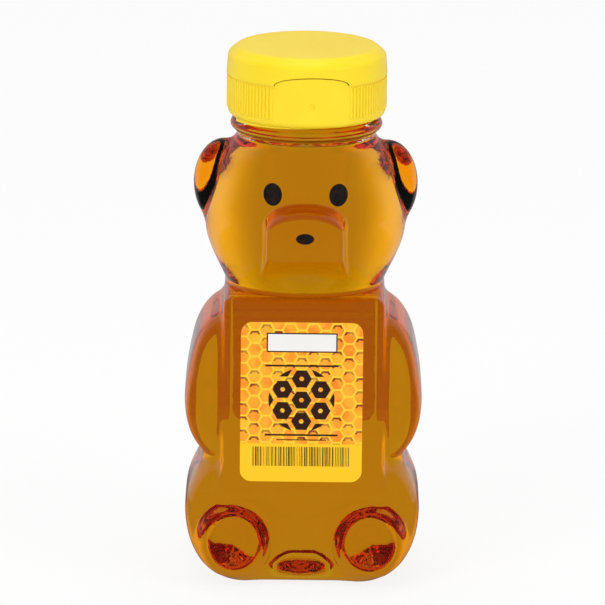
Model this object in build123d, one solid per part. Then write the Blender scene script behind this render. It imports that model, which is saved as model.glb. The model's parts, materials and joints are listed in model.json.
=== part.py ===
from build123d import *
import os
from math import cos, sin, sqrt, radians, degrees, asin, atan

os.makedirs("parts", exist_ok=True)

# A squeezable bear-shaped bottle of honey with a flip-top screw closure.
# Millimetres. The bear stands on z = 0, looks along -Y, and its neck axis is the Z axis.

# Blow-moulded shell
wall = 0.9
fill_gap = 0.3
ink_thickness = 0.15
label_thickness = 0.12
overrun = 5.0

# Flat-panelled body
panel_front_y = -24.5
panel_back_y = 25.0
panel_half_width = 21.0
panel_bottom_z = 24.2
panel_top_z = 77.5
panel_edge_radius = 2.0
panel_rim_share = 0.9
belly_front_y = -23.7
belly_half_width = 20.6
belly_top_z = 30.0
belly_corner_radius = 8.0
base_radius = 6.0

# Hollow under the base
pushup_half_width = 12.5
pushup_half_depth = 10.0
pushup_height = 2.6

# Swellings in pairs: the middle of the right-hand one (+X), then its half sizes
pillow_level_shares = (-0.97, -0.9, -0.75, -0.5, -0.2, 0.2, 0.5, 0.75, 0.9, 0.97)
pillow_corner_share = 0.7
upper_arm_centre = (19.0, -1.0, 56.5)
upper_arm_half_sizes = (11.0, 22.2, 19.2)
forearm_centre = (20.6, -3.0, 44.0)
forearm_half_sizes = (9.9, 19.3, 14.9)
haunch_centre = (16.0, -1.0, 19.6)
haunch_half_sizes = (14.85, 22.8, 18.0)
heel_centre = (17.3, 2.0, 12.6)
heel_half_sizes = (11.6, 20.4, 13.7)
ear_centre = (21.4, 0.6, 103.3)
ear_half_sizes = (7.9, 6.3, 11.6)

# Legs: straight round limbs from the hip to the foot, the right-hand one (+X)
hip = (17.6, -4.0, 15.5)
foot = (18.6, -17.8, 12.7)
leg_radius = 10.7

# Head: one turned outline, from inside the shoulders up to the neck
head_bottom_z = 73.0
head_bottom_radius = 18.6
chin_z = 78.4
chin_radius = 20.8
jaw_z = 86.0
jaw_radius = 24.4
cheek_z = 93.2
cheek_radius = 26.2
temple_z = 105.3
temple_radius = 23.8
crown_z = 112.4
crown_radius = 21.4
neck_root_z = 116.8
neck_root_radius = 17.6

# Snout: a wedge with straight sides and an arched top, which slopes back under the nose
snout_front_y = -30.8
snout_root_y = -24.0
snout_back_y = -14.0
snout_half_width = 10.0
snout_root_half_width = 10.8
snout_arch_z = 96.75
snout_arch_height = 3.9
snout_root_arch_height = 7.0
snout_chin_z = 89.5
snout_chin_slope_share = 1.05
snout_edge_radius = 0.8

# Printed face
eye_x = 8.5
eye_z = 105.2
eye_half_width = 2.4
eye_half_height = 2.8
nose_z = 95.4
nose_half_width = 2.35
nose_half_height = 1.4

# Labels
label_width = 31.75
label_height = 42.8
label_bottom_z = 28.9
label_offset_x = -0.45
label_corner_radius = 3.0
back_label_width = 37.6
back_label_height = 38.0
back_label_bottom_z = 36.8

# Neck finish
neck_radius = 17.6
bore_radius = 14.9
neck_top_z = 131.0
bead_depth = 2.25
bead_half_height = 1.7
bead_z = 119.6
thread_pitch = 4.23
thread_depth = 1.2
thread_base_width = 2.0
thread_crest_width = 1.0
thread_root_sink = 0.4
neck_thread_start_z = 123.9
thread_turns = 1.15
thread_phase = 200.0
neck_rim_radius = 0.8
fill_z = 123.4

# Closure base
closure_yaw = 3.8
skirt_wall = 1.8
skirt_height = 11.2
skirt_bottom_radius = 1.6
deck_thickness = 1.3
thread_clearance = 0.3
crest_clearance = 0.35
thread_seat_offset = 0.3
closure_thread_turns = 1.1
seal_thickness = 0.8
seal_clearance = 0.3
rib_count = 120
rib_height = 0.35
rib_sink = 0.2
rib_top_share = 0.45
rib_end_gap = 0.7
thumb_half_angle = 28.0
thumb_arch_height = 2.5
thumb_arch_clearance = 0.3
dimple_radius = 1.25
dimple_depth = 0.35
dimple_drop = 5.1

# Pour spout and its plug
orifice_radius = 2.6
spout_foot_radius = 5.4
spout_top_radius = 4.2
spout_height = 3.9
seat_ring_height = 0.7
seat_ring_thickness = 0.8
seat_ring_clearance = 0.3
plug_clearance = 0.5
plug_reach = 1.9
plug_tip_radius = 0.8

# Lid
lid_overhang = 0.1
lid_height = 7.1
lid_draft = 0.4
lid_shoulder_drop = 2.0
lid_shoulder_inset = 2.8
lid_fillet_share = 0.9
lid_wall = 1.35
hinge_half_width = 7.0
hinge_web_half_width = 6.2
hinge_web_thickness = 0.45
hinge_web_half_height = 1.5

# Heights and radii of the closure, stacked on the neck
deck_bottom_z = neck_top_z + seal_thickness
split_z = deck_bottom_z + deck_thickness
skirt_bottom_z = split_z - skirt_height
lid_top_z = split_z + lid_height
inner_skirt_radius = neck_radius + thread_depth + thread_clearance
closure_radius = inner_skirt_radius + skirt_wall
lid_radius = closure_radius + lid_overhang


def egg(centre, half_sizes, inset):
    """An egg drawn in from its nominal surface by the inset."""
    sizes = [half_size - inset for half_size in half_sizes]
    return Pos(*centre) * scale(Sphere(1), by=tuple(sizes))


def pair_of_eggs(centre, half_sizes, inset):
    right_one = egg(centre, half_sizes, inset)
    return [right_one, mirror(right_one, Plane.YZ)]


def pillow(centre, half_sizes, inset):
    """Oval in front view and side view, and an oblong with round corners in plan."""
    half_width, half_depth, half_height = [half_size - inset for half_size in half_sizes]
    sections = []
    for height_share in pillow_level_shares:
        width_share = sqrt(1 - height_share**2)
        corner = half_width * width_share * pillow_corner_share
        plan = RectangleRounded(2 * half_width * width_share, 2 * half_depth * width_share, corner)
        sections.append(Pos(centre[0], centre[1], centre[2] + half_height * height_share) * plan)
    return loft(sections)


def pair_of_pillows(centre, half_sizes, inset):
    right_one = pillow(centre, half_sizes, inset)
    return [right_one, mirror(right_one, Plane.YZ)]


def turned(outline):
    """Solid turned about Z: a smooth side through the outline, with flat ends where it is off the axis."""
    side = Spline(*[(radius, 0, z) for radius, z in outline])
    first_radius, first_z = outline[0]
    last_radius, last_z = outline[-1]
    closing = [(0, 0, last_z), (0, 0, first_z)]
    if last_radius > 0:
        closing.insert(0, (last_radius, 0, last_z))
    if first_radius > 0:
        closing.append((first_radius, 0, first_z))
    return revolve(make_face([side, Polyline(*closing)]), Axis.Z)


def panel_block(inset):
    """Body with flat front and back panels."""
    depth = panel_back_y - panel_front_y - 2 * inset
    plan = RectangleRounded(2 * (panel_half_width - inset), depth, panel_edge_radius - inset / 2)
    height = panel_top_z - panel_bottom_z - 2 * inset
    middle_y = (panel_back_y + panel_front_y) / 2
    block = extrude(Pos(0, middle_y, panel_bottom_z + inset) * plan, height)
    rims = block.faces().filter_by(Axis.Z).edges()
    return fillet(rims, (panel_edge_radius - inset / 2) * panel_rim_share)


def belly_block(inset):
    """Lower body that carries the flat base."""
    depth = panel_back_y - belly_front_y - 2 * inset
    plan = RectangleRounded(2 * (belly_half_width - inset), depth, belly_corner_radius - inset)
    middle_y = (panel_back_y + belly_front_y) / 2
    block = extrude(Pos(0, middle_y, inset) * plan, belly_top_z - 2 * inset)
    rim = block.faces().sort_by(Axis.Z)[0].edges()
    return fillet(rim, base_radius - inset)


def head(inset):
    outline = [
        (head_bottom_radius - inset, head_bottom_z + inset),
        (chin_radius - inset, chin_z),
        (jaw_radius - inset, jaw_z),
        (cheek_radius - inset, cheek_z),
        (temple_radius - inset, temple_z),
        (crown_radius - inset, crown_z),
        (neck_root_radius - inset, neck_root_z),
    ]
    return turned(outline)


def leg(inset):
    """Right-hand limb: a rod with full round ends, turned about its own axis."""
    axis = Vector(foot) - Vector(hip)
    radius = leg_radius - inset
    side = Line((radius, 0), (radius, axis.length))
    round_end = ThreePointArc((radius, axis.length), *round_end_points(radius, axis.length, 1))
    round_start = ThreePointArc((radius, 0), *round_end_points(radius, 0, -1))
    middle = Line((0, -radius), (0, axis.length + radius))
    section = Plane.XZ * make_face([side, round_end, middle, round_start])
    return Plane(hip, z_dir=axis) * revolve(section, Axis.Z)


def round_end_points(radius, height, direction):
    """Middle and last point of the quarter circle from the side of a rod to its tip."""
    middle = radius * sqrt(2) / 2
    return (middle, height + direction * middle), (0, height + direction * radius)


def snout_section(y, half_width, arch_height):
    """Upright section: straight sides under half an ellipse."""
    plane = Plane((0, y, snout_arch_z), x_dir=(1, 0, 0), z_dir=(0, -1, 0))
    drop = snout_arch_z - head_bottom_z
    arch = EllipticalCenterArc((0, 0), half_width, arch_height, arc_size=180)
    sides = Polyline((-half_width, 0), (-half_width, -drop), (half_width, -drop), (half_width, 0))
    return plane * make_face([arch, sides])


def snout(inset):
    """Widens and rises from its front to its root, and on at the same slopes into the head."""
    stretch = (snout_back_y - snout_front_y) / (snout_root_y - snout_front_y)
    back_half_width = snout_half_width + stretch * (snout_root_half_width - snout_half_width)
    back_arch_height = snout_arch_height + stretch * (snout_root_arch_height - snout_arch_height)
    front_y = snout_front_y + inset
    front = snout_section(front_y, snout_half_width - inset, snout_arch_height - inset)
    back = snout_section(snout_back_y + inset, back_half_width - inset, back_arch_height - inset)
    wedge = loft([back, front])
    rim = wedge.faces().sort_by(Axis.Y)[0].edges().filter_by(GeomType.ELLIPSE)
    wedge = fillet(rim, snout_edge_radius)
    slope_angle = degrees(atan(snout_chin_slope_share))
    side = snout_chin_z - head_bottom_z
    cutter = Pos(0, -side, -side) * Box(2 * snout_half_width + side, 2 * side, 2 * side)
    return wedge - Pos(0, front_y, snout_chin_z) * Rot(slope_angle, 0, 0) * cutter


def bear_form(inset):
    """The whole bear below the neck finish, every surface drawn in by the inset."""
    form = panel_block(inset) + belly_block(inset) + head(inset) + snout(inset)
    form += pair_of_eggs(ear_centre, ear_half_sizes, inset)
    form += pair_of_pillows(upper_arm_centre, upper_arm_half_sizes, inset)
    form += pair_of_pillows(forearm_centre, forearm_half_sizes, inset)
    form += pair_of_pillows(haunch_centre, haunch_half_sizes, inset)
    form += pair_of_pillows(heel_centre, heel_half_sizes, inset)
    form += [leg(inset), mirror(leg(inset), Plane.YZ)]
    form -= below_base(inset)
    pushup_sizes = (pushup_half_width, pushup_half_depth, pushup_height)
    return form - egg((0, 0, 0), pushup_sizes, -inset)


def below_base(inset):
    """What the flat base cuts off the heels and feet."""
    depth = haunch_half_sizes[2]
    width = 2 * (haunch_centre[0] + haunch_half_sizes[0])
    return Pos(0, 0, inset - depth / 2) * Box(width, width, depth)


def thread_ridge(root_radius, crest_radius, start_z, turns):
    """One helical ridge of trapezoid section, from its sunken root to its crest."""
    outward = 1 if crest_radius > root_radius else -1
    sunk_radius = root_radius - outward * thread_root_sink
    helix = Helix(thread_pitch, thread_pitch * turns, root_radius)
    section_plane = Plane(helix @ 0, x_dir=(1, 0, 0), z_dir=helix % 0)
    reach = crest_radius - root_radius
    sink = sunk_radius - root_radius
    corners = [
        (sink, -thread_base_width / 2),
        (reach, -thread_crest_width / 2),
        (reach, thread_crest_width / 2),
        (sink, thread_base_width / 2),
    ]
    section = section_plane * make_face(Polyline(*corners, close=True))
    ridge = sweep(section, path=helix, is_frenet=True)
    return Pos(0, 0, start_z) * Rot(0, 0, thread_phase) * ridge


def neck_finish():
    """Neck cylinder, transfer bead and outside thread."""
    neck = Pos(0, 0, neck_root_z - overrun) * extrude(Circle(neck_radius), neck_top_z - neck_root_z + overrun)
    neck = fillet(neck.edges().group_by(Axis.Z)[-1], neck_rim_radius)
    bead_section = Plane.XZ * Pos(neck_radius, bead_z) * Ellipse(bead_depth, bead_half_height)
    bead = revolve(bead_section, Axis.Z)
    ridge = thread_ridge(neck_radius, neck_radius + thread_depth, neck_thread_start_z, thread_turns)
    return neck + bead + ridge


def neck_bore(radius, top_z):
    start_z = crown_z
    return Pos(0, 0, start_z) * extrude(Circle(radius), top_z - start_z)


def make_bottle():
    outer = bear_form(0) + neck_finish()
    inner = bear_form(wall) + neck_bore(bore_radius, neck_top_z + overrun)
    return outer - inner


def make_honey():
    inset = wall + fill_gap
    return bear_form(inset) + neck_bore(bore_radius - fill_gap, fill_z)


def make_label(width, height, bottom_z, centre_x, face_y, outward):
    """Flat sticker on a body panel; outward is -1 for the front and 1 for the back."""
    plane = Plane((centre_x, face_y, bottom_z + height / 2), x_dir=(-outward, 0, 0), z_dir=(0, outward, 0))
    return extrude(plane * RectangleRounded(width, height, label_corner_radius), label_thickness)


def make_eye(side):
    """Ink spot that lies on the turned head."""
    plane = Plane((side * eye_x, 0, eye_z), x_dir=(1, 0, 0), z_dir=(0, -1, 0))
    prism = extrude(plane * Ellipse(eye_half_width, eye_half_height), cheek_radius)
    return (prism & head(-ink_thickness)) - head(0)


def make_nose():
    plane = Plane((0, snout_front_y, nose_z), x_dir=(1, 0, 0), z_dir=(0, -1, 0))
    return extrude(plane * Ellipse(nose_half_width, nose_half_height), ink_thickness)


def rib_outline():
    """Plan of the ribs on a sunken core, with none across the thumb pad or the hinge flat."""
    sunken = closure_radius - rib_height - rib_sink
    flat_half_angle = degrees(asin(hinge_half_width / closure_radius))
    step = 360 / rib_count
    points = []
    for index in range(rib_count):
        angle = -90 + index * step
        from_front = min(index, rib_count - index) * step
        on_rib = thumb_half_angle < from_front < 180 - flat_half_angle - step
        crest_radius = closure_radius if on_rib else sunken
        crest = step * rib_top_share / 2
        for turn, radius in ((-step / 2, sunken), (-crest, crest_radius), (crest, crest_radius)):
            bearing = radians(angle + turn)
            points.append((radius * cos(bearing), radius * sin(bearing)))
    return make_face(Polyline(*points, close=True))


def hinge_line_y():
    """The straight hinge needs a flat across the back, as wide as the hinge."""
    return sqrt(closure_radius**2 - hinge_half_width**2)


def back_flat_cutter():
    depth = closure_radius
    box = Box(2 * closure_radius, depth, lid_top_z - skirt_bottom_z)
    return Pos(0, hinge_line_y() + depth / 2, (lid_top_z + skirt_bottom_z) / 2) * box


def thumb_arch(clearance):
    """Oval bar along Y that shapes the lifting notch in the lid's front edge."""
    half_width = closure_radius * sin(radians(thumb_half_angle)) - clearance
    plane = Plane((0, 0, split_z), x_dir=(1, 0, 0), z_dir=(0, -1, 0))
    return extrude(plane * Ellipse(half_width, thumb_arch_height - clearance), closure_radius + overrun)


def with_back_flat(plan, sink):
    """Plan face less the strip behind the hinge line, or sunk below it."""
    depth = closure_radius
    return plan - Pos(0, hinge_line_y() - sink + depth / 2) * Rectangle(2 * closure_radius, depth)


def make_closure_base():
    height = split_z - skirt_bottom_z
    plain_radius = closure_radius - rib_height
    core = Pos(0, 0, skirt_bottom_z) * extrude(with_back_flat(Circle(plain_radius), 0), height)
    core = fillet(core.edges().group_by(Axis.Z)[0], skirt_bottom_radius)
    core -= Pos(0, 0, skirt_bottom_z) * extrude(Circle(inner_skirt_radius), deck_bottom_z - skirt_bottom_z)
    dimple_y = -plain_radius - dimple_radius + dimple_depth
    core -= Pos(0, dimple_y, split_z - dimple_drop) * Sphere(dimple_radius)
    core += closure_thread()
    core += spout_and_seat()
    core += thumb_pad(plain_radius)
    core -= Pos(0, 0, deck_bottom_z) * extrude(Circle(orifice_radius), split_z + spout_height)
    rib_ring = with_back_flat(rib_outline() - Circle(plain_radius - 2 * rib_sink), rib_sink)
    rib_bottom_z = skirt_bottom_z + skirt_bottom_radius + rib_end_gap
    core += Pos(0, 0, rib_bottom_z) * extrude(rib_ring, split_z - rib_end_gap - rib_bottom_z)
    return Rot(0, 0, closure_yaw) * core


def closure_thread():
    """Inside thread, half a pitch under the neck's own, less what it lifts to seat."""
    crest_radius = neck_radius + crest_clearance
    start_z = neck_thread_start_z - thread_pitch / 2 + thread_seat_offset
    ridge = thread_ridge(inner_skirt_radius, crest_radius, start_z, closure_thread_turns)
    return Rot(0, 0, -closure_yaw) * ridge


def spout_and_seat():
    """Pour spout on the deck and the ring that centres the lid."""
    spout = Pos(0, 0, split_z + spout_height / 2) * Cone(spout_foot_radius, spout_top_radius, spout_height)
    ring_radius = lid_radius - lid_wall - seat_ring_clearance
    ring = Circle(ring_radius) - Circle(ring_radius - seat_ring_thickness)
    return spout + Pos(0, 0, split_z) * extrude(ring, seat_ring_height)


def thumb_pad(plain_radius):
    """Wall that fills the lid's notch, under the thumb."""
    inner_radius = lid_radius - lid_wall - seat_ring_clearance - seat_ring_thickness
    wall_ring = Pos(0, 0, split_z) * extrude(Circle(plain_radius) - Circle(inner_radius), thumb_arch_height)
    return wall_ring & thumb_arch(thumb_arch_clearance)


def make_lid():
    outline = [
        (0, split_z),
        (lid_radius, split_z),
        (lid_radius - lid_draft, lid_top_z - lid_shoulder_drop),
        (lid_radius - lid_shoulder_inset, lid_top_z),
        (0, lid_top_z),
    ]
    body = revolve(make_face(Polyline(*[(r, 0, z) for r, z in outline], close=True)), Axis.Z)
    shoulder = body.edges().filter_by(GeomType.CIRCLE).group_by(Axis.Z)[1:]
    body = fillet(shoulder[0] + shoulder[1], lid_fillet_share * lid_shoulder_drop)
    hollow_height = lid_top_z - lid_wall - split_z
    hollow = Pos(0, 0, split_z) * extrude(Circle(lid_radius - lid_wall), hollow_height)
    hollow = fillet(hollow.edges().group_by(Axis.Z)[-1], lid_wall)
    body -= hollow
    body -= back_flat_cutter()
    body -= thumb_arch(0)
    return Rot(0, 0, closure_yaw) * (body + lid_plug())


def lid_plug():
    radius = orifice_radius - plug_clearance
    tip_z = split_z + spout_height - plug_reach
    plug = Pos(0, 0, tip_z) * extrude(Circle(radius), lid_top_z - lid_wall / 2 - tip_z)
    return fillet(plug.edges().group_by(Axis.Z)[0], plug_tip_radius)


def make_living_hinge():
    web = Box(2 * hinge_web_half_width, hinge_web_thickness, 2 * hinge_web_half_height)
    placed = Pos(0, hinge_line_y() + hinge_web_thickness / 2, split_z) * web
    return Rot(0, 0, closure_yaw) * placed


def make_seal_disc():
    radius = inner_skirt_radius - seal_clearance
    return Pos(0, 0, neck_top_z) * extrude(Circle(radius), seal_thickness)


nodes = {
    "bottle": make_bottle(),
    "honey": make_honey(),
    "front_label": make_label(
        label_width, label_height, label_bottom_z, label_offset_x, panel_front_y, -1
    ),
    "back_label": make_label(
        back_label_width, back_label_height, back_label_bottom_z, 0, panel_back_y, 1
    ),
    "left_eye": make_eye(1),
    "right_eye": make_eye(-1),
    "nose": make_nose(),
    "closure_base": make_closure_base(),
    "flip_lid": make_lid(),
    "living_hinge": make_living_hinge(),
    "seal_disc": make_seal_disc(),
}

# The origin lies under the middle of the whole bear, from the nose to the back of the head
origin_shift_y = -(snout_front_y - ink_thickness + cheek_radius) / 2

for name, shape in nodes.items():
    export_step(Pos(0, origin_shift_y, 0) * shape, f"parts/{name}.step")
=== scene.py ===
import json
import math
import bpy
import numpy as np
import openvdb as vdb
from mathutils import Matrix, Vector


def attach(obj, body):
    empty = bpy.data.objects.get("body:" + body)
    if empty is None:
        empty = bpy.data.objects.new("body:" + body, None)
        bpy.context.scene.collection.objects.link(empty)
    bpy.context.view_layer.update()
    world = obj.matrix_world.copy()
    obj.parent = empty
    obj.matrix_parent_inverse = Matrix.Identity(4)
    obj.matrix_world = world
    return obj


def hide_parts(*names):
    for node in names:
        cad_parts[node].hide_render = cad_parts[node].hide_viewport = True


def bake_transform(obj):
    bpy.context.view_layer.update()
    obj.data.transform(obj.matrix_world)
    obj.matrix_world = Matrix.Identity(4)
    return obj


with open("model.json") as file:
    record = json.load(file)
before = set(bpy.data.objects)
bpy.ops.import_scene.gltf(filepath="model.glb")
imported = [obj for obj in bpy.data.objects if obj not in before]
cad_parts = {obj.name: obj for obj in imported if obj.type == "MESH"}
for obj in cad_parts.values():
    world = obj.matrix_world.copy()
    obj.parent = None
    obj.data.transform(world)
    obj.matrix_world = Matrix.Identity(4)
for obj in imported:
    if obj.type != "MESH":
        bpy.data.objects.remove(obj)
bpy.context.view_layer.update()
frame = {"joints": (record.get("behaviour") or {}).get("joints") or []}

# Forms are written in millimetres about the neck axis, which stands a little behind the origin
MM = 0.001
NECK_Y = 2.375

WALL = 0.9
HONEY_GAP = 0.05
FILL_Z = 123.4
HEAD_TOP_Z = 116.8
NECK_TOP_Z = 131.0
NECK_RADIUS = 17.6
BORE_RADIUS = 14.9
BORE_BOTTOM_Z = 112.4
# Between the bore and the outside of the neck, which tells their faces apart
BORE_SIDE_RADIUS = 15.5
# How far inside the head the neck starts, and how far past the mouth the bore runs on
OVERRUN = 5.0

PANEL_FRONT_Y = -24.5
PANEL_BACK_Y = 25.0
PANEL_HALF_WIDTH = 21.0
PANEL_BOTTOM_Z = 24.2
PANEL_TOP_Z = 77.5
PANEL_EDGE = 2.0

BELLY_FRONT_Y = -23.7
BELLY_BACK_Y = 24.0
BELLY_HALF_WIDTH = 20.6
BELLY_TOP_Z = 30.0
BELLY_EDGE = 6.5

CORE_HALF_WIDTH = 26.0
CORE_FRONT_Y = -17.5
CORE_BACK_Y = 24.5
CORE_BOTTOM_Z = 2.0
CORE_TOP_Z = 66.0
CORE_CORNER = 5.5
CORE_RIM = 8.0

# Swellings on the +X side, mirrored by bear(): middle and half sizes, and for the pillows
# the power of their round corners. The push-up is hollowed out of the base.
UPPER_ARM = ((19.0, -3.0, 55.6), (10.85, 18.8, 17.2), 6)
FOREARM = ((20.6, -3.0, 45.0), (9.6, 17.5, 12.7), 6)
HAUNCH = ((16.0, -2.5, 19.0), (14.7, 19.8, 15.4), 6)
HEEL = ((16.6, 0.0, 13.2), (10.2, 18.0, 12.0), 4)
FOOT = ((17.8, -14.0, 12.6), (10.2, 14.2, 10.8), 4)
EAR = ((21.4, 0.6, 103.3), (7.9, 6.3, 11.6))
PUSH_UP = ((0.0, 0.0, 0.0), (12.5, 10.0, 4.6))

# Head outline, from inside the shoulders up to the neck: height and radius
HEAD_OUTLINE = (
    (73.0, 18.6), (78.4, 20.8), (86.0, 24.4), (93.2, 26.2),
    (105.3, 23.8), (112.4, 21.4), (116.8, 17.6),
)
OUTLINE_ROWS = 600

SNOUT_FRONT_Y = -30.8
SNOUT_ROOT_Y = -24.0
SNOUT_BACK_Y = -12.0
SNOUT_HALF_WIDTH = 10.0
SNOUT_FLARE = 0.8
SNOUT_FLARE_LIMIT = 1.6
SNOUT_ARCH_Z = 96.75
SNOUT_ARCH_HEIGHT = 3.9
SNOUT_ARCH_GROWTH = 3.1
SNOUT_CHIN_Z = 89.5
SNOUT_CHIN_SLOPE = 1.5
SNOUT_EDGE = 1.6

BEAD_Z = 119.6
BEAD_REACH = 2.25
BEAD_HALF_HEIGHT = 1.7
THREAD_PITCH = 4.23
THREAD_DEPTH = 1.2
THREAD_BASE = 2.0
THREAD_CREST = 1.0
THREAD_START_Z = 123.9
THREAD_TURNS = 1.15
THREAD_RUN_OUT = 0.05
THREAD_PHASE = math.radians(200.0)
# The thread's flanks are steeper than the neck, so the distance beside them is taken smaller
NECK_FIELD_SHARE = 0.8

# Widths over which forms run into each other, and over which edges are rounded
BELLY_JOIN = 0.6
CORE_JOIN = 0.5
ELBOW_JOIN = 6.5
SHOULDER_JOIN = 2.0
KNEE_JOIN = 6.0
ANKLE_JOIN = 4.0
HIP_JOIN = 3.5
EAR_JOIN = 1.6
SNOUT_JOIN = 1.0
CHIN_JOIN = 1.1
BEAD_JOIN = 0.8
NECK_JOIN = 1.5
BORE_JOIN = 2.0
BASE_EDGE = 2.0
NECK_EDGE = 1.2
MOUTH_EDGE = 0.5
FILL_EDGE = 0.8

# Grid that the bottle and the honey are cut from
CELL = 0.55
GRID_LOW = (-33.0, -33.0, -1.5)
GRID_HIGH = (33.0, 28.6, 132.6)
GRID_OUTSIDE = 5.0
DRAW_ROUNDS = 3
DRAW_LIMIT = 0.3
LEAST_SLOPE_SQUARED = 0.2
TINY = 1e-6

# Light: what rays through glass, rays off the front of gloss, and scattered light meet
SEEN_THROUGH = 0.52
SEEN_AT_SIDES = 1.0
SIDES_BEGIN = 0.3
SIDES_FULL = 0.75
DARK_SIDE = 0.1
GLOSS_BEHIND = 0.5
# Painted shadow: how bright glass sees the floor right under the bottle
PAINTED_SHADOW_UNDER_BOTTLE = 0.15
WORLD_LIGHT = 0.55
FLOOR_WHITE_SHARE = 0.86
# Where the dark side turns into the back, by direction in the world and by metres on the floor
WORLD_TURN = (-0.05, 0.5)
FLOOR_TURN = (0.06, 0.16)
# Distances from the origin over which the painted shadow that glass sees under the bottle fades
# into open floor, in metres
PAINTED_SHADOW_FADE = (0.018, 0.029)
LIT_MIDDLE = (0.0, 0.0, 0.07)
LAMP_SIDE = 0.9

WHITE = (1.0, 1.0, 1.0, 1.0)
HONEY_TINT = (0.989, 0.85, 0.0, 1.0)
HONEY_DENSITY = 140.0

# Backs of the labels as seen through the honey. The paper lets light through; its warm tint is
# painted amber light, standing in for light that came through the honey onto it.
LABEL_BACK_PAINTED_LIGHT = (0.82, 0.52, 0.36, 1.0)
LABEL_SHEER_PAINTED_LIGHT = (1.0, 0.74, 0.5, 1.0)
LABEL_SHEER_SHARE = 0.7
LABEL_THICKNESS = 0.12
LABEL_MIDDLE_X = -0.45
LABEL_BOTTOM_Z = 28.9

# Print of the front label, in millimetres across and up from the middle of its lower edge.
# A rule is its height, half length and thickness, and the box of bars its four sides.
COMB_SIDE = 2.045
COMB_LINE_FROM = 0.86
COMB_SHADOW_FROM = 0.55
COMB_SHADOW_RISE = 0.55
COMB_BARE_SHARE = 0.42
BADGE_V = 22.0
BADGE_RADIUS = 8.6
BADGE_SCALE = 0.62
BADGE_RING = (0.2, 0.8)
RULES = ((31.2, 9.5, 0.5), (12.6, 9.5, 0.5), (11.3, 6.5, 0.28))
PLAQUE_V = 37.4
PLAQUE_OUTSIDE = (9.2, 2.6)
PLAQUE_INSIDE = (8.85, 2.25)
STRIP_HEIGHT = 10.2
BARS_PER_MM = 2.35
BAR_LEAST_SHARE = 0.2
BAR_SPREAD = 0.55
BARS_BOX = (-12.6, 12.6, 4.2, 9.4)


def smooth_union(a, b, blend):
    share = np.maximum(blend - np.abs(a - b), 0.0) / blend
    return np.minimum(a, b) - share * share * blend / 4


def smooth_cut(a, b, blend):
    """What lies inside both, with a rounded edge between them."""
    return -smooth_union(-a, -b, blend)


def egg(x, y, z, shape):
    """Distance to an egg, negative inside."""
    centre, half_sizes = shape
    offsets = [value - middle for value, middle in zip((x, y, z), centre)]
    reach = np.sqrt(sum((d / h) ** 2 for d, h in zip(offsets, half_sizes)))
    slope = np.sqrt(sum((d / h**2) ** 2 for d, h in zip(offsets, half_sizes)))
    return reach * (reach - 1) / np.maximum(slope, TINY)


def pillow(x, y, z, shape):
    """Distance to a form that is oval from the front, and from the side and in plan an oblong
    with round corners."""
    centre, half_sizes, power = shape
    across, along, up = [
        (value - middle) / half for value, middle, half in zip((x, y, z), centre, half_sizes)
    ]
    oval = np.maximum(np.hypot(across, up), TINY)
    reach = (oval**power + along**power) ** (1 / power)
    oval_slope = np.hypot(across / half_sizes[0], up / half_sizes[2]) / oval
    slope = np.hypot(
        oval_slope * (oval / reach) ** (power - 1), (along / reach) ** (power - 1) / half_sizes[1]
    )
    return (reach - 1) / slope


def rounded_box(place, low, high, edge):
    """Distance to a box with rounded edges, or to an oblong or a slab with fewer coordinates."""
    outside = []
    for coordinate, lowest, highest in zip(place, low, high):
        middle = (lowest + highest) / 2
        outside.append(np.abs(coordinate - middle) - ((highest - lowest) / 2 - edge))
    beyond = np.sqrt(sum(np.maximum(d, 0) ** 2 for d in outside))
    within = np.minimum(np.maximum.reduce(outside), 0)
    return beyond + within - edge


def outline_table(outline):
    """Natural cubic spline through the outline, as a dense table of heights, radii and slopes."""
    heights = np.array([point[0] for point in outline])
    radii = np.array([point[1] for point in outline])
    steps = np.diff(heights)
    rises = np.diff(radii) / steps
    count = len(heights)
    system = np.eye(count)
    known = np.zeros(count)
    for i in range(1, count - 1):
        system[i, i - 1:i + 2] = steps[i - 1], 2 * (steps[i - 1] + steps[i]), steps[i]
        known[i] = 6 * (rises[i] - rises[i - 1])
    bends = np.linalg.solve(system, known)
    dense = np.linspace(heights[0], heights[-1], OUTLINE_ROWS)
    i = np.clip(np.searchsorted(heights, dense) - 1, 0, count - 2)
    before, after = dense - heights[i], heights[i + 1] - dense
    values = (bends[i] * after**3 + bends[i + 1] * before**3) / (6 * steps[i])
    values += (radii[i] / steps[i] - bends[i] * steps[i] / 6) * after
    values += (radii[i + 1] / steps[i] - bends[i + 1] * steps[i] / 6) * before
    return dense, values, np.gradient(values, dense)


HEAD_TABLE = outline_table(HEAD_OUTLINE)


def head(x, y, z):
    heights, radii, slopes = HEAD_TABLE
    radius = np.interp(z, heights, radii)
    slope = np.interp(z, heights, slopes)
    side = (np.hypot(x, y) - radius) / np.sqrt(1 + slope**2)
    return np.maximum(side, np.maximum(heights[0] - z, z - heights[-1]))


def snout(x, y, z):
    """Wedge with an arched top that looks forward and fades into the chin."""
    depth = (y - SNOUT_FRONT_Y) / (SNOUT_ROOT_Y - SNOUT_FRONT_Y)
    depth = np.clip(depth, 0, SNOUT_FLARE_LIMIT)
    half_width = SNOUT_HALF_WIDTH + SNOUT_FLARE * depth
    arch_height = SNOUT_ARCH_HEIGHT + SNOUT_ARCH_GROWTH * depth
    rise = np.maximum(z - SNOUT_ARCH_Z, 1e-3)
    reach = np.sqrt((x / half_width) ** 2 + (rise / arch_height) ** 2)
    slope = np.sqrt((x / half_width**2) ** 2 + (rise / arch_height**2) ** 2)
    over = reach * (reach - 1) / np.maximum(slope, TINY)
    arch = np.where(z > SNOUT_ARCH_Z, over, np.abs(x) - half_width)
    lowered = np.maximum(SNOUT_CHIN_Z - z, 0)
    front = (SNOUT_FRONT_Y - y + lowered * SNOUT_CHIN_SLOPE) / math.hypot(1, SNOUT_CHIN_SLOPE)
    return np.maximum(smooth_cut(arch, front, SNOUT_EDGE), y - SNOUT_BACK_Y)


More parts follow.
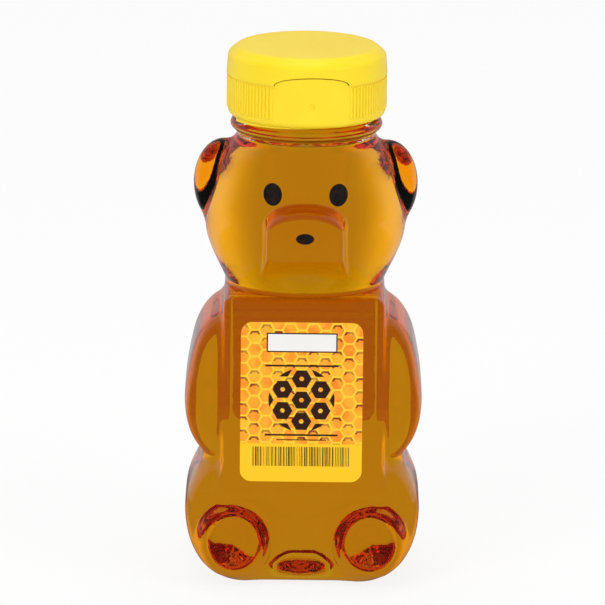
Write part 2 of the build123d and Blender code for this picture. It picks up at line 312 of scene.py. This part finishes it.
def bear(x, y, z):
    """Distance to the whole bear below its neck."""
    x = np.abs(x)
    panels = rounded_box(
        (x, y, z),
        (-PANEL_HALF_WIDTH, PANEL_FRONT_Y, PANEL_BOTTOM_Z),
        (PANEL_HALF_WIDTH, PANEL_BACK_Y, PANEL_TOP_Z),
        PANEL_EDGE,
    )
    belly = rounded_box(
        (x, y, z),
        (-BELLY_HALF_WIDTH, BELLY_FRONT_Y, 0.0),
        (BELLY_HALF_WIDTH, BELLY_BACK_Y, BELLY_TOP_Z),
        BELLY_EDGE,
    )
    core_plan = rounded_box(
        (x, y), (-CORE_HALF_WIDTH, CORE_FRONT_Y), (CORE_HALF_WIDTH, CORE_BACK_Y), CORE_CORNER
    )
    core_level = rounded_box((z,), (CORE_BOTTOM_Z,), (CORE_TOP_Z,), 0.0)
    core = smooth_cut(core_plan, core_level, CORE_RIM)
    arm = smooth_union(pillow(x, y, z, UPPER_ARM), pillow(x, y, z, FOREARM), ELBOW_JOIN)
    leg = smooth_union(pillow(x, y, z, HAUNCH), pillow(x, y, z, HEEL), KNEE_JOIN)
    leg = smooth_union(leg, pillow(x, y, z, FOOT), ANKLE_JOIN)
    face = smooth_union(head(x, y, z), egg(x, y, z, EAR), EAR_JOIN)
    face = smooth_union(face, snout(x, y, z), SNOUT_JOIN)
    form = smooth_union(panels, belly, BELLY_JOIN)
    form = smooth_union(form, core, CORE_JOIN)
    form = smooth_union(form, arm, SHOULDER_JOIN)
    form = smooth_union(form, leg, HIP_JOIN)
    form = smooth_union(form, face, CHIN_JOIN)
    form = smooth_cut(form, -z, BASE_EDGE)
    return smooth_cut(form, -egg(x, y, z, PUSH_UP), BASE_EDGE)


def neck(x, y, z):
    """Neck cylinder with its transfer bead and screw thread."""
    radius = np.hypot(x, y)
    angle = np.mod(np.arctan2(y, x) - THREAD_PHASE, 2 * np.pi) / (2 * np.pi)
    ridge = np.zeros_like(radius)
    for lap in range(math.ceil(THREAD_TURNS)):
        turn = angle + lap
        off = np.abs(z - THREAD_START_Z - turn * THREAD_PITCH)
        climb = np.clip((THREAD_BASE / 2 - off) / ((THREAD_BASE - THREAD_CREST) / 2), 0, 1)
        lead_in = np.clip(turn / THREAD_RUN_OUT, 0, 1)
        run_out = np.clip((THREAD_TURNS - turn) / THREAD_RUN_OUT, 0, 1)
        ridge = np.maximum(ridge, climb * (run_out * lead_in))
    side = (radius - NECK_RADIUS - ridge * THREAD_DEPTH) * NECK_FIELD_SHARE
    cylinder = smooth_cut(side, z - NECK_TOP_Z, NECK_EDGE)
    cylinder = np.maximum(cylinder, HEAD_TOP_Z - OVERRUN - z)
    bead_x, bead_z = (radius - NECK_RADIUS) / BEAD_REACH, (z - BEAD_Z) / BEAD_HALF_HEIGHT
    bead = (np.sqrt(bead_x**2 + bead_z**2) - 1) * BEAD_HALF_HEIGHT
    return smooth_union(cylinder, bead, BEAD_JOIN)


def inside(x, y, z, form):
    """Distance to the hollow of the bottle, with its bore run on past the mouth."""
    column = np.maximum(BORE_BOTTOM_Z - z, z - (NECK_TOP_Z + OVERRUN))
    bore = np.maximum(np.hypot(x, y) - BORE_RADIUS, column)
    return smooth_union(form + WALL, bore, BORE_JOIN)


def shell(x, y, z):
    form = bear(x, y, z)
    outer = smooth_union(form, neck(x, y, z), NECK_JOIN)
    return smooth_cut(outer, -inside(x, y, z, form), MOUTH_EDGE)


def filling(x, y, z):
    hollow = inside(x, y, z, bear(x, y, z))
    return smooth_cut(hollow + HONEY_GAP, z - FILL_Z, FILL_EDGE)


def gradient(field, points):
    x, y, z = points.T
    step = 0.03
    parts = [
        field(x + step, y, z) - field(x - step, y, z),
        field(x, y + step, z) - field(x, y - step, z),
        field(x, y, z + step) - field(x, y, z - step),
    ]
    return np.stack(parts, axis=1) / (2 * step)


def field_mesh(name, field):
    """Closed mesh of the places where the field is zero, with its points drawn onto the surface."""
    axes = [np.arange(low, high + CELL, CELL) for low, high in zip(GRID_LOW, GRID_HIGH)]
    x, y, z = np.meshgrid(*axes, indexing="ij")
    grid = vdb.FloatGrid(GRID_OUTSIDE)
    grid.copyFromArray(field(x, y, z).astype(np.float32))
    points, quads = grid.convertToQuads(0.0)
    points = np.array(points, dtype=np.float64) * CELL + np.array(GRID_LOW)
    for _ in range(DRAW_ROUNDS):
        slopes = gradient(field, points)
        squared = np.maximum((slopes**2).sum(1), LEAST_SLOPE_SQUARED)[:, None]
        steps = field(*points.T)[:, None] * slopes / squared
        size = np.linalg.norm(steps, axis=1)[:, None]
        points -= steps * np.minimum(1, DRAW_LIMIT * CELL / np.maximum(size, TINY))
    normals = gradient(field, points)
    normals /= np.maximum(np.linalg.norm(normals, axis=1), TINY)[:, None]
    corners = points[quads]
    face_normals = np.cross(corners[:, 2] - corners[:, 0], corners[:, 3] - corners[:, 1])
    if (face_normals * normals[quads[:, 0]]).sum() < 0:
        quads = quads[:, ::-1]
    mesh = bpy.data.meshes.new(name)
    placed = (points + np.array([0.0, NECK_Y, 0.0])) * MM
    mesh.from_pydata(placed, [], quads.tolist())
    mesh.polygons.foreach_set("use_smooth", np.ones(len(quads), dtype=bool))
    mesh.normals_split_custom_set_from_vertices(normals.tolist())
    return add_object(name, mesh)


def add_object(name, data):
    holder = bpy.data.objects.new(name, data)
    bpy.context.scene.collection.objects.link(holder)
    return holder


class Value:
    """A number or colour that nodes work out, with the usual operators."""

    def __init__(self, tree, socket):
        self.tree = tree
        self.socket = socket

    def maths(self, operation, *others):
        node = self.tree.nodes.new("ShaderNodeMath")
        node.operation = operation
        self.tree.links.new(self.socket, node.inputs[0])
        for place, other in enumerate(others, 1):
            if isinstance(other, Value):
                self.tree.links.new(other.socket, node.inputs[place])
            else:
                node.inputs[place].default_value = other
        return Value(self.tree, node.outputs[0])

    def __add__(self, other):
        return self.maths("ADD", other)

    def __sub__(self, other):
        return self.maths("SUBTRACT", other)

    def __mul__(self, other):
        return self.maths("MULTIPLY", other)

    def __truediv__(self, other):
        return self.maths("DIVIDE", other)

    def size(self):
        return self.maths("ABSOLUTE")

    def left_of_one(self):
        return self * -1.0 + 1.0

    def over(self, limit):
        return self.maths("GREATER_THAN", limit)

    def under(self, limit):
        return self.maths("LESS_THAN", limit)

    def larger(self, other):
        return self.maths("MAXIMUM", other)

    def smaller(self, other):
        return self.maths("MINIMUM", other)


class Nodes:
    """Adds nodes to the tree of a material or of the world."""

    def __init__(self, tree):
        self.tree = tree

    def node(self, kind, inputs=None, **settings):
        node = self.tree.nodes.new(kind)
        for name, value in settings.items():
            setattr(node, name, value)
        for socket, value in (inputs or {}).items():
            if isinstance(value, Value):
                self.tree.links.new(value.socket, node.inputs[socket])
            else:
                node.inputs[socket].default_value = value
        return node

    def value(self, node, output=0):
        return Value(self.tree, node.outputs[output])

    def place(self):
        """The point's own coordinates, in metres."""
        return self.value(self.node("ShaderNodeTexCoord"), "Object")

    def place_parts(self):
        parts = self.node("ShaderNodeSeparateXYZ", {0: self.place()})
        return [self.value(parts, axis) for axis in range(3)]

    def noise(self, scale, detail):
        inputs = {"Vector": self.place(), "Scale": scale, "Detail": detail}
        return self.value(self.node("ShaderNodeTexNoise", inputs))

    def ramp(self, factor, stops):
        node = self.node("ShaderNodeValToRGB", {0: factor})
        elements = node.color_ramp.elements
        while len(elements) < len(stops):
            elements.new(0.5)
        for element, (position, colour) in zip(elements, stops):
            element.position = position
            element.color = colour
        return self.value(node)

    def mixed(self, factor, first, second):
        inputs = {0: factor, 6: first, 7: second}
        return self.value(self.node("ShaderNodeMix", inputs, data_type="RGBA"), 2)

    def ranged(self, value, first, last, low, high):
        inputs = {0: value, 1: first, 2: last, 3: low, 4: high}
        return self.value(self.node("ShaderNodeMapRange", inputs, interpolation_type="SMOOTHSTEP"))

    def mixed_shader(self, factor, first, second):
        node = self.node("ShaderNodeMixShader", {0: factor})
        self.tree.links.new(first.outputs[0], node.inputs[1])
        self.tree.links.new(second.outputs[0], node.inputs[2])
        return node

    def ray_kinds(self):
        """Shares of rays from the camera, off a gloss and through glass, which are glossy too."""
        path = self.node("ShaderNodeLightPath")
        camera, glossy, through = [
            self.value(path, f"Is {kind} Ray") for kind in ("Camera", "Glossy", "Transmission")
        ]
        return camera, glossy * through.left_of_one(), through


class Paint(Nodes):
    """A node-built material with one main shader."""

    def __init__(self, name, **settings):
        self.material = bpy.data.materials.new(name)
        self.material.use_nodes = True
        super().__init__(self.material.node_tree)
        self.shader = self.tree.nodes["Principled BSDF"]
        for socket, value in settings.items():
            self.shader.inputs[socket.replace("_", " ")].default_value = value

    def feed(self, socket, value):
        self.tree.links.new(value.socket, self.shader.inputs[socket])

    def show(self, shader, socket="Surface"):
        output = self.tree.nodes["Material Output"]
        self.tree.links.new(shader.outputs[0], output.inputs[socket])

    def bump(self, height, strength, distance):
        inputs = {"Height": height, "Strength": strength, "Distance": distance}
        self.feed("Normal", self.value(self.node("ShaderNodeBump", inputs)))

    def show_through(self, outward, middle_y):
        """Lets light through a stuck label. Each face shows only from its own front: the outer one
            its print, and the inner one, seen through the bottle, the label's back with light in
            it. Its amber tint is painted light, as if light had come through the honey onto the
            paper."""
        _, y, _ = self.place_parts()
        outer = (y * outward).over(middle_y * outward)
        behind = self.value(self.node("ShaderNodeNewGeometry"), "Backfacing")
        printed = outer * behind.left_of_one()
        # Painted amber light: the warm tints stand in for light that came through the honey
        glow = self.node("ShaderNodeBsdfTranslucent", {"Color": LABEL_BACK_PAINTED_LIGHT})
        sheer = self.node("ShaderNodeBsdfTransparent", {"Color": LABEL_SHEER_PAINTED_LIGHT})
        paper_painted_light = self.mixed_shader(LABEL_SHEER_SHARE, glow, sheer)
        clear = self.node("ShaderNodeBsdfTransparent")
        under = self.mixed_shader(behind.larger(outer), paper_painted_light, clear)
        self.show(self.mixed_shader(printed, under, self.shader))


def linear(red, green, blue):
    """Shader colour of a screen colour given in 0 to 255."""
    shares = [channel / 255 for channel in (red, green, blue)]
    lit = [s / 12.92 if s <= 0.04045 else ((s + 0.055) / 1.055) ** 2.4 for s in shares]
    return (*lit, 1.0)


def clear_plastic():
    """Blown clear plastic, a little uneven, as such walls are."""
    paint = Paint(
        "clear_plastic", Base_Color=WHITE, Roughness=0.02, IOR=1.5, Transmission_Weight=1.0
    )
    waves = paint.noise(60.0, detail=1.0)
    grain = paint.noise(260.0, detail=2.0)
    paint.bump(waves * 0.8 + grain * 0.2, 0.35, 0.0006)
    return paint.material


def unbent(name):
    """Clear surface between honey and plastic, where nothing bends the light."""
    return Paint(
        name, Base_Color=WHITE, Roughness=0.0, IOR=1.0, Transmission_Weight=1.0,
        Specular_IOR_Level=0.0,
    )


def honey_liquid():
    paint = unbent("honey_liquid")
    inputs = {"Color": HONEY_TINT, "Density": HONEY_DENSITY}
    paint.show(paint.node("ShaderNodeVolumeAbsorption", inputs), "Volume")
    return paint.material


def yellow_plastic():
    paint = Paint(
        "yellow_plastic", Roughness=0.34, IOR=1.49, Subsurface_Weight=0.15, Subsurface_Scale=0.002,
        Subsurface_Radius=(1.0, 0.7, 0.15),
    )
    tone = paint.noise(45.0, detail=3.0)
    stops = ((0.3, linear(250, 214, 22)), (0.7, linear(253, 222, 40)))
    paint.feed("Base Color", paint.ramp(tone, stops))
    paint.bump(paint.noise(2200.0, detail=2.0), 0.12, 0.0002)
    return paint.material


def two_toned(name, roughness, scale, detail, stops, strength, distance):
    """Dull material that wanders between two tones, with a grain of the same scale."""
    paint = Paint(name, Roughness=roughness)
    tone = paint.noise(scale, detail)
    paint.feed("Base Color", paint.ramp(tone, stops))
    paint.bump(tone, strength, distance)
    return paint


def black_ink():
    stops = ((0.35, linear(18, 12, 10)), (0.75, linear(42, 26, 18)))
    return two_toned("black_ink", 0.45, 900.0, 3.0, stops, 0.3, 0.0001).material


def white_foam():
    stops = ((0.3, linear(226, 226, 222)), (0.7, linear(240, 240, 237)))
    return two_toned("white_foam", 0.8, 700.0, 3.0, stops, 0.4, 0.0002).material


def bare_paper():
    stops = ((0.3, linear(226, 221, 208)), (0.7, linear(238, 234, 224)))
    paint = two_toned("bare_paper", 0.6, 400.0, 4.0, stops, 0.2, 0.0001)
    paint.show_through(1.0, (PANEL_BACK_Y + NECK_Y + LABEL_THICKNESS / 2) * MM)
    return paint.material


def honeycomb(u, v):
    """Nearest cell of a honeycomb: how near its edge is, as a share of its half height, how far
    above its middle the point is, and where that middle is."""
    across, down = 3 * COMB_SIDE, math.sqrt(3) * COMB_SIDE
    found = []
    for lap in (0.0, 0.5):
        column = (u / across + lap).maths("FLOOR")
        row = (v / down + lap).maths("FLOOR")
        middle_u = (column + (0.5 - lap)) * across
        middle_v = (row + (0.5 - lap)) * down
        off_u, off_v = u - middle_u, v - middle_v
        slanted = off_u.size() * (math.sqrt(3) / 2) + off_v.size() * 0.5
        found.append((off_v.size().larger(slanted), off_v, middle_u, middle_v))
    first, second = found
    nearer = first[0].under(second[0])
    reach, off_v, middle_u, middle_v = [b + (a - b) * nearer for a, b in zip(first, second)]
    return reach / (COMB_SIDE * math.sqrt(3) / 2), off_v, middle_u, middle_v


def box_share(u, v, left, right, bottom, top):
    return u.over(left) * u.under(right) * v.over(bottom) * v.under(top)


def front_print():
    """Honeycomb print with a blank plaque, a badge of cells and a strip of bars, no lettering."""
    paint = Paint("front_print", Roughness=0.42)
    dark = linear(56, 26, 8)
    x, _, z = paint.place_parts()
    u = x * 1000 - LABEL_MIDDLE_X
    v = z * 1000 - LABEL_BOTTOM_Z

    # Cells of three oranges, some with a shadow under their upper edge, and lines between them
    edge, off_v, middle_u, middle_v = honeycomb(u, v)
    cell_key = paint.node("ShaderNodeCombineXYZ", {0: middle_u, 1: middle_v})
    cell_random = paint.value(
        paint.node("ShaderNodeTexWhiteNoise", {"Vector": paint.value(cell_key)})
    )
    colour = paint.ramp(cell_random, (
        (0.0, linear(255, 152, 12)), (0.5, linear(252, 132, 8)), (1.0, linear(255, 178, 30)),
    ))
    shade = edge.over(COMB_SHADOW_FROM) * off_v.over(COMB_SHADOW_RISE)
    shade = shade * cell_random.over(COMB_BARE_SHARE)
    colour = paint.mixed(shade, colour, linear(150, 38, 0))
    colour = paint.mixed(edge.over(COMB_LINE_FROM), colour, linear(255, 204, 38))
    glow = (paint.noise(260.0, detail=2.0) - 0.42) * 2.2
    colour = paint.mixed(glow.larger(0.0).smaller(0.35), colour, linear(255, 205, 45))

    # Dark round badge of cells in the middle, with a rule above and two below
    badge_v = v - BADGE_V
    badge_edge = honeycomb(
        u * BADGE_SCALE + 3 * COMB_SIDE / 2, badge_v * BADGE_SCALE + COMB_SIDE * 0.866
    )[0]
    near = (u.size().maths("POWER", 2.0) + badge_v.size().maths("POWER", 2.0)).maths("SQRT")
    hole, rim = BADGE_RING
    badge = near.under(BADGE_RADIUS) * badge_edge.over(hole) * badge_edge.under(rim)
    colour = paint.mixed(badge, colour, dark)
    for height, half, thick in RULES:
        rule = box_share(u, v, -half, half, height - thick / 2, height + thick / 2)
        colour = paint.mixed(rule, colour, dark)

    # Blank plaque near the top, in a thin dark frame
    plaque_u, plaque_v = u.size(), (v - PLAQUE_V).size()
    for (half_width, half_height), tint in (
        (PLAQUE_OUTSIDE, dark), (PLAQUE_INSIDE, linear(236, 234, 232))
    ):
        within = plaque_u.under(half_width) * plaque_v.under(half_height)
        colour = paint.mixed(within, colour, tint)

    # Plain yellow strip with bars that stand for no number
    colour = paint.mixed(v.under(STRIP_HEIGHT), colour, linear(255, 200, 0))
    along = u * BARS_PER_MM
    bar_random = paint.value(paint.node(
        "ShaderNodeTexWhiteNoise", {"W": along.maths("FLOOR")}, noise_dimensions="1D"
    ))
    bar_share = bar_random * BAR_SPREAD + BAR_LEAST_SHARE
    bars = along.maths("FRACT").under(bar_share) * box_share(u, v, *BARS_BOX)
    colour = paint.mixed(bars, colour, linear(48, 30, 10))

    paint.feed("Base Color", colour)
    paint.bump(paint.noise(900.0, detail=3.0), 0.12, 0.0001)
    paint.show_through(-1.0, (PANEL_FRONT_Y + NECK_Y - LABEL_THICKNESS / 2) * MM)
    return paint.material


def floor_material():
    """White floor: the camera sees it almost white, and a trace of shadow stays. Gloss sees it dark
    ahead and greyer behind, and glass sees it softer straight on than at the sides, with a painted
    shadow under the bottle.
    """
    paint = Paint("floor_white", Base_Color=(0.9, 0.9, 0.9, 1.0), Roughness=0.9)
    paint.bump(paint.noise(300.0, detail=2.0), 0.02, 0.0001)
    camera, glossy, transmission = paint.ray_kinds()
    x, y, _ = paint.place_parts()
    blunting = 0.02**2
    away = (x * x + y * y + blunting).maths("SQRT")
    ahead = paint.ranged(y, *FLOOR_TURN, DARK_SIDE, GLOSS_BEHIND)
    aside = paint.ranged(x.size() / away, SIDES_BEGIN, SIDES_FULL, SEEN_THROUGH, SEEN_AT_SIDES)
    # Painted shadow: glass sees the floor darker right under the bottle
    under = paint.ranged(away, *PAINTED_SHADOW_FADE, PAINTED_SHADOW_UNDER_BOTTLE, 1.0)
    strength = (glossy * ahead + transmission * aside * under).larger(camera)
    glow = paint.node("ShaderNodeEmission", {"Strength": strength})
    seen = glossy.larger(transmission).larger(camera * FLOOR_WHITE_SHARE)
    paint.show(paint.mixed_shader(seen, paint.shader, glow))
    return paint.material


def set_material(name, material):
    for slot in bpy.data.objects[name].material_slots:
        slot.link = "OBJECT"
        slot.material = material


def make_bottle():
    piece = field_mesh("bear_shell", shell)
    mesh = piece.data
    mesh.materials.append(clear_plastic())
    mesh.materials.append(unbent("wetted_wall").material)
    centres = np.zeros(len(mesh.polygons) * 3)
    mesh.polygons.foreach_get("center", centres)
    x, y, z = (centres.reshape(-1, 3) / MM - np.array([0.0, NECK_Y, 0.0])).T
    in_neck = np.hypot(x, y) < BORE_SIDE_RADIUS
    inner = np.where(z < HEAD_TOP_Z, bear(x, y, z) < -WALL / 2, in_neck)
    wetted = (inner & (z < FILL_Z)).astype(np.int32)
    mesh.polygons.foreach_set("material_index", wetted)
    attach(piece, "bear")
    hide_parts("bottle")


def make_filling():
    piece = field_mesh("honey_filling", filling)
    piece.data.materials.append(honey_liquid())
    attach(piece, "bear")
    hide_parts("honey")


def make_strap(plastic):
    """Thin web at the lid's hinge, made as rows of points from the closure up to the lid."""
    joint = next(j for j in frame["joints"] if j["name"] == "lid_flip")
    anchor = Vector(joint["pos_m"])
    along = Vector(joint["axis"]).normalized()
    outward = Vector((-along.y, along.x, 0.0))
    if outward.y < 0:
        outward = -outward
    half_width, half_height, thickness = 0.0062, 0.0015, 0.00045
    waist_share, bending_share = 0.55, 0.8
    rows, columns = 9, 13
    points, faces = [], []
    for side in (-1, 1):
        for row in range(rows):
            rise = -1 + 2 * row / (rows - 1)
            thin = waist_share + (1 - waist_share) * abs(rise) ** 1.5
            for column in range(columns):
                across = -1 + 2 * column / (columns - 1)
                point = anchor + along * (half_width * across) + Vector((0, 0, half_height * rise))
                points.append(point + outward * (side * thickness / 2 * thin))
    layer = rows * columns
    for row in range(rows - 1):
        for column in range(columns - 1):
            a = row * columns + column
            quad = (a, a + 1, a + columns + 1, a + columns)
            faces.append(quad)
            faces.append(tuple(layer + i for i in reversed(quad)))
    rim = list(range(columns))
    rim += [r * columns + columns - 1 for r in range(1, rows)]
    rim += [(rows - 1) * columns + c for c in range(columns - 2, -1, -1)]
    rim += [r * columns for r in range(rows - 2, 0, -1)]
    for here, after in zip(rim, rim[1:] + rim[:1]):
        faces.append((here, layer + here, layer + after, after))
    mesh = bpy.data.meshes.new("hinge_strap")
    mesh.from_pydata(points, [], faces)
    mesh.materials.append(plastic)
    piece = add_object("hinge_strap", mesh)
    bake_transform(piece)
    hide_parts("living_hinge")


def make_lamp(name, place, power):
    lamp = bpy.data.lights.new(name, "AREA")
    lamp.shape = "RECTANGLE"
    lamp.size = lamp.size_y = LAMP_SIDE
    lamp.energy = power
    holder = add_object(name, lamp)
    holder.location = place
    aim = Vector(LIT_MIDDLE) - Vector(place)
    holder.rotation_euler = aim.to_track_quat("-Z", "Y").to_euler()
    holder.visible_glossy = False
    holder.visible_transmission = False


def make_world():
    """White studio. Gloss sees its darker side where the camera stands, and glass a softer white
    straight ahead than at the sides."""
    world = bpy.data.worlds.new("studio")
    bpy.context.scene.world = world
    world.use_nodes = True
    world.node_tree.nodes.clear()
    paint = Nodes(world.node_tree)
    camera, glossy, transmission = paint.ray_kinds()
    sight = paint.value(paint.node("ShaderNodeTexCoord"), "Generated")
    direction = paint.node("ShaderNodeSeparateXYZ", {0: sight})
    aside, toward_back = paint.value(direction, 0).size(), paint.value(direction, 1)
    off_gloss = paint.ranged(toward_back, *WORLD_TURN, DARK_SIDE, GLOSS_BEHIND)
    through = paint.ranged(aside, SIDES_BEGIN, SIDES_FULL, SEEN_THROUGH, SEEN_AT_SIDES)
    kind = camera.larger(glossy).larger(transmission)
    strength = (glossy * off_gloss + transmission * through).larger(camera)
    strength = strength.larger(kind.left_of_one() * WORLD_LIGHT)
    background = paint.node("ShaderNodeBackground", {"Color": WHITE, "Strength": strength})
    output = paint.node("ShaderNodeOutputWorld")
    paint.tree.links.new(background.outputs[0], output.inputs["Surface"])


def make_floor():
    """Large square, a little lower than what the bottle stands on, so that the two don't touch."""
    reach, drop = 6.0, 0.0002
    mesh = bpy.data.meshes.new("floor")
    corners = [(-reach, -reach), (reach, -reach), (reach, reach), (-reach, reach)]
    mesh.from_pydata([(x, y, -drop) for x, y in corners], [], [(0, 1, 2, 3)])
    mesh.materials.append(floor_material())
    add_object("floor", mesh)


def make_camera():
    elevation = math.radians(14.0)
    lean = math.radians(0.67)
    distance = 1.8
    camera = bpy.data.cameras.new("camera")
    camera.lens = 407.5
    camera.sensor_width = 36.0
    camera.shift_x = -0.0030
    camera.shift_y = 0.0058
    camera.clip_end = 100.0
    holder = add_object("camera", camera)
    away = Vector((0.0, -math.cos(elevation), math.sin(elevation)))
    holder.location = Vector((0.0, NECK_Y * MM, 0.070)) + away * distance
    aim = (-away).to_track_quat("-Z", "Y").to_matrix().to_4x4()
    holder.rotation_euler = (aim @ Matrix.Rotation(lean, 4, "Z")).to_euler()
    bpy.context.scene.camera = holder


make_bottle()
make_filling()
cap_plastic = yellow_plastic()
make_strap(cap_plastic)
ink = black_ink()
for node in ("closure_base", "flip_lid"):
    set_material(node, cap_plastic)
for node in ("left_eye", "right_eye", "nose"):
    set_material(node, ink)
set_material("seal_disc", white_foam())
set_material("front_label", front_print())
set_material("back_label", bare_paper())

make_world()
make_floor()
make_lamp("key_lamp", (-0.9, -1.3, 1.2), 14.0)
make_lamp("fill_lamp", (1.2, -0.9, 0.8), 8.0)
make_lamp("top_lamp", (0.0, 0.2, 1.6), 6.0)
make_camera()

scene = bpy.context.scene
scene.view_settings.view_transform = "Standard"
scene.cycles.max_bounces = 40
scene.cycles.transmission_bounces = 32
scene.cycles.transparent_max_bounces = 32
